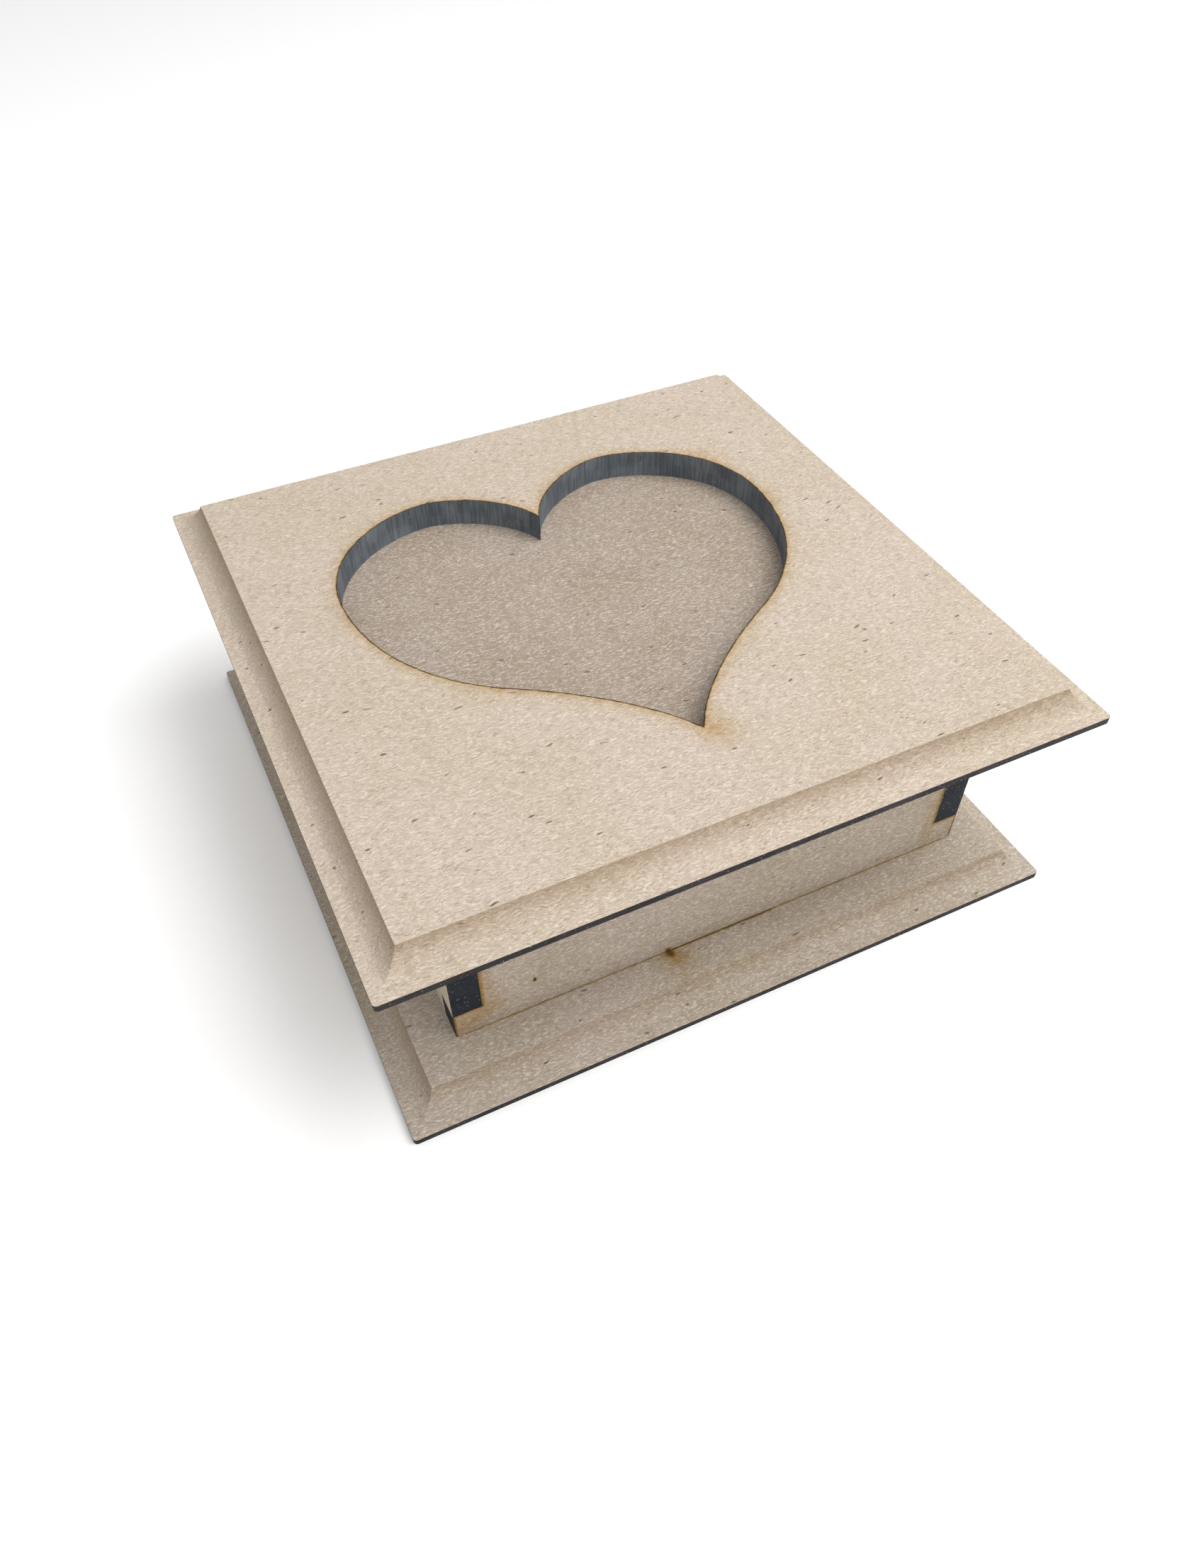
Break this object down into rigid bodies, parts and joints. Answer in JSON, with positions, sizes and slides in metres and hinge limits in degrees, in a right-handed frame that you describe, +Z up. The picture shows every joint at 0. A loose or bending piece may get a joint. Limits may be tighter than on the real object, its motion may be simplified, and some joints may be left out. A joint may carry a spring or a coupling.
{
  "type": "wind-up music box",
  "caption": "Square wooden music box: low finger-jointed box, coved base and lift-off lid with a heart cut through it, wound by a key at the back.",
  "frame": {"origin": "centre of the base board's underside, on the surface the box stands on", "axes": "+X to the right seen from the front, +Y to the back wall with the key, +Z up"},
  "size_m": [0.15, 0.15, 0.0544],
  "materials": {
    "board": "raw MDF, laser-cut edges charred dark",
    "casting": "matt die-cast zinc alloy",
    "steel": "bright steel",
    "spring_steel": "blued spring steel",
    "brass": "polished brass",
    "plastic": "off-white moulded nylon"
  },
  "bodies": {
    "case": {"base_board": "board", "front_wall": "board", "back_wall": "board", "left_wall": "board", "right_wall": "board", "bedplate": "casting", "movement_screws": "steel", "comb": "steel", "comb_screws": "steel", "barrel_bridge": "brass", "bridge_screws": "steel", "click_stud": "steel", "click_spring": "spring_steel", "governor_cage": "casting", "cage_screws": "steel", "stop_lever_pin": "steel"},
    "lid": {"lid_board": "board", "lid_locator": "board"},
    "barrel": {"barrel_drum": "brass", "crown_wheel": "brass", "mainspring": "spring_steel"},
    "winder": {"winding_arbor": "steel", "ratchet_wheel": "steel", "winding_key": "brass"},
    "click": {"click": "steel"},
    "cylinder": {"music_cylinder": "brass", "cylinder_arbor": "steel", "drive_pinion": "brass", "cylinder_wheel": "brass"},
    "governor": {"governor_pinion": "steel", "worm_wheel": "brass"},
    "air_brake": {"worm_shaft": "steel", "fly": "plastic"},
    "stop_lever": {"stop_lever": "steel"}
  },
  "joints": [
    {"name": "lid_lift", "type": "slide", "parent": "case", "child": "lid", "axis": [0, 0, 1], "range_m": [0, 0.06]},
    {"name": "cylinder_spin", "type": "hinge", "parent": "case", "child": "cylinder", "pos_m": [-0.0199, 0.0418, 0.0281], "axis": [1, 0, 0], "continuous": true},
    {"name": "barrel_spin", "type": "hinge", "parent": "case", "child": "barrel", "pos_m": [0, 0.0488, 0.0281], "axis": [0, -1, 0], "continuous": true},
    {"name": "governor_spin", "type": "hinge", "parent": "case", "child": "governor", "pos_m": [-0.0362, 0.0448, 0.01962], "axis": [1, 0, 0], "continuous": true},
    {"name": "fly_spin", "type": "hinge", "parent": "case", "child": "air_brake", "pos_m": [-0.0362, 0.0438, 0.01341], "axis": [0, -1, 0], "continuous": true},
    {"name": "key_wind", "type": "hinge", "parent": "case", "child": "winder", "pos_m": [0, 0.0538, 0.0281], "axis": [0, -1, 0], "range_deg": [0, 1800]},
    {"name": "click_lift", "type": "hinge", "parent": "case", "child": "click", "pos_m": [0.0068, 0.0408, 0.0325], "axis": [0, -1, 0], "range_deg": [-10, 0], "stiffness_Nm_per_rad": 0.00002, "springref_deg": 11.46},
    {"name": "stop_lever_tip", "type": "hinge", "parent": "case", "child": "stop_lever", "pos_m": [-0.0362, 0.0378, 0.0096], "axis": [1, 0, 0], "range_deg": [0, 7.2]}
  ],
  "couplings": [
    {"joint": "barrel_spin", "follows": "cylinder_spin", "ratio": -0.38462},
    {"joint": "governor_spin", "follows": "cylinder_spin", "ratio": -3.5},
    {"joint": "fly_spin", "follows": "cylinder_spin", "ratio": -35}
  ]
}
